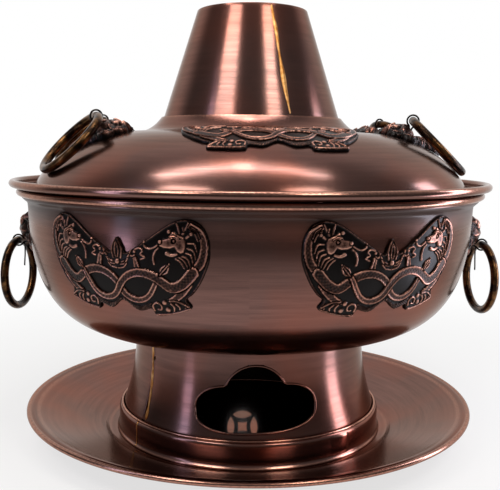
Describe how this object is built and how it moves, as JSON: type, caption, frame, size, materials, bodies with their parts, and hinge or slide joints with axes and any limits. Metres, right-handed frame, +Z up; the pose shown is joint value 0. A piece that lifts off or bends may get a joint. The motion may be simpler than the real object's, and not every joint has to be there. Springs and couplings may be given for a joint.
{
  "type": "chimney hot pot",
  "caption": "Copper charcoal hot pot: ring-shaped bowl round a fire tube and chimney on a flared foot, with a lift-off domed lid, hanging ring handles, dragon plaques and a drip tray",
  "frame": {"origin": "middle of the drip tray's underside, where it stands on the table", "axes": "+Z up along the chimney, -Y towards the front with the cloud-shaped ash opening, +X to the right past the bowl's ring handles"},
  "size_m": [0.367, 0.35, 0.3113],
  "materials": {
    "drip_tray": "antiqued red copper sheet, fine circular brushing, clear lacquer",
    "pedestal": "antiqued red copper sheet, fine circular brushing, clear lacquer",
    "foot_band": "antiqued red copper sheet, fine circular brushing, clear lacquer",
    "pedestal_seam": "brazed brass strip, hammered flat, slightly tarnished",
    "bowl": "antiqued red copper sheet, fine circular brushing, clear lacquer",
    "fire_tube": "antiqued red copper sheet, fine circular brushing, clear lacquer",
    "tube_braze": "brazed brass strip, hammered flat, slightly tarnished",
    "charcoal_grate": "rough black cast iron",
    "grate_lugs": "rough black cast iron",
    "chimney": "antiqued red copper sheet, fine circular brushing, clear lacquer",
    "chimney_seam": "brazed brass strip, hammered flat, slightly tarnished",
    "bowl_plaque_front_left": "cast copper, dark in the recesses and rubbed bright on the relief",
    "bowl_plaque_front_right": "cast copper, dark in the recesses and rubbed bright on the relief",
    "bowl_plaque_rear_left": "cast copper, dark in the recesses and rubbed bright on the relief",
    "bowl_plaque_rear_right": "cast copper, dark in the recesses and rubbed bright on the relief",
    "bowl_lion_left": "cast copper, dark in the recesses and rubbed bright on the relief",
    "bowl_lion_right": "cast copper, dark in the recesses and rubbed bright on the relief",
    "bowl_eye_left": "black annealed iron wire",
    "bowl_eye_right": "black annealed iron wire",
    "bowl_ring_left": "dark bronzed wire with worn golden highlights",
    "bowl_ring_right": "dark bronzed wire with worn golden highlights",
    "lid_shell": "antiqued red copper sheet, fine circular brushing, clear lacquer",
    "lid_plaque_front": "cast copper, dark in the recesses and rubbed bright on the relief",
    "lid_plaque_rear": "cast copper, dark in the recesses and rubbed bright on the relief",
    "lid_lion_front_left": "cast copper, dark in the recesses and rubbed bright on the relief",
    "lid_lion_front_right": "cast copper, dark in the recesses and rubbed bright on the relief",
    "lid_lion_rear_left": "cast copper, dark in the recesses and rubbed bright on the relief",
    "lid_lion_rear_right": "cast copper, dark in the recesses and rubbed bright on the relief",
    "lid_eye_front_left": "black annealed iron wire",
    "lid_eye_front_right": "black annealed iron wire",
    "lid_eye_rear_left": "black annealed iron wire",
    "lid_eye_rear_right": "black annealed iron wire",
    "lid_ring_front_left": "dark bronzed wire with worn golden highlights",
    "lid_ring_front_right": "dark bronzed wire with worn golden highlights",
    "lid_ring_rear_left": "dark bronzed wire with worn golden highlights",
    "lid_ring_rear_right": "dark bronzed wire with worn golden highlights"
  },
  "bodies": {
    "tray": {"drip_tray": "drip_tray"},
    "pot": {"pedestal": "pedestal", "foot_band": "foot_band", "pedestal_seam": "pedestal_seam", "bowl": "bowl", "fire_tube": "fire_tube", "tube_braze": "tube_braze", "charcoal_grate": "charcoal_grate", "grate_lugs": "grate_lugs", "chimney": "chimney", "chimney_seam": "chimney_seam", "bowl_plaque_front_left": "bowl_plaque_front_left", "bowl_plaque_front_right": "bowl_plaque_front_right", "bowl_plaque_rear_left": "bowl_plaque_rear_left", "bowl_plaque_rear_right": "bowl_plaque_rear_right", "bowl_lion_left": "bowl_lion_left", "bowl_lion_right": "bowl_lion_right", "bowl_eye_left": "bowl_eye_left", "bowl_eye_right": "bowl_eye_right"},
    "bowl_ring_left": {"bowl_ring_left": "bowl_ring_left"},
    "bowl_ring_right": {"bowl_ring_right": "bowl_ring_right"},
    "lid": {"lid_shell": "lid_shell", "lid_plaque_front": "lid_plaque_front", "lid_plaque_rear": "lid_plaque_rear", "lid_lion_front_left": "lid_lion_front_left", "lid_lion_front_right": "lid_lion_front_right", "lid_lion_rear_left": "lid_lion_rear_left", "lid_lion_rear_right": "lid_lion_rear_right", "lid_eye_front_left": "lid_eye_front_left", "lid_eye_front_right": "lid_eye_front_right", "lid_eye_rear_left": "lid_eye_rear_left", "lid_eye_rear_right": "lid_eye_rear_right"},
    "lid_ring_front_left": {"lid_ring_front_left": "lid_ring_front_left"},
    "lid_ring_front_right": {"lid_ring_front_right": "lid_ring_front_right"},
    "lid_ring_rear_left": {"lid_ring_rear_left": "lid_ring_rear_left"},
    "lid_ring_rear_right": {"lid_ring_rear_right": "lid_ring_rear_right"}
  },
  "joints": [
    {"name": "pot_lift", "type": "slide", "parent": "tray", "child": "pot", "axis": [0, 0, 1], "range_m": [0, 0.15]},
    {"name": "lid_lift", "type": "slide", "parent": "pot", "child": "lid", "axis": [0, 0, 1], "range_m": [0, 0.14]},
    {"name": "bowl_ring_left_swing", "type": "hinge", "parent": "pot", "child": "bowl_ring_left", "pos_m": [-0.17702, 0, 0.1405], "axis": [0.1392, 0.9903, 0], "range_deg": [-34, 176]},
    {"name": "bowl_ring_right_swing", "type": "hinge", "parent": "pot", "child": "bowl_ring_right", "pos_m": [0.17702, 0, 0.1405], "axis": [0.1392, -0.9903, 0], "range_deg": [-34, 176]},
    {"name": "lid_ring_front_left_swing", "type": "hinge", "parent": "lid", "child": "lid_ring_front_left", "pos_m": [-0.1053, -0.05482, 0.23238], "axis": [-0.4617, 0.887, 0], "range_deg": [0, 215]},
    {"name": "lid_ring_front_right_swing", "type": "hinge", "parent": "lid", "child": "lid_ring_front_right", "pos_m": [0.1159, -0.02569, 0.23238], "axis": [-0.2164, -0.9763, 0], "range_deg": [0, 215]},
    {"name": "lid_ring_rear_left_swing", "type": "hinge", "parent": "lid", "child": "lid_ring_rear_left", "pos_m": [-0.1159, 0.02569, 0.23238], "axis": [0.2164, 0.9763, 0], "range_deg": [0, 215]},
    {"name": "lid_ring_rear_right_swing", "type": "hinge", "parent": "lid", "child": "lid_ring_rear_right", "pos_m": [0.1053, 0.05482, 0.23238], "axis": [0.4617, -0.887, 0], "range_deg": [0, 215]}
  ]
}
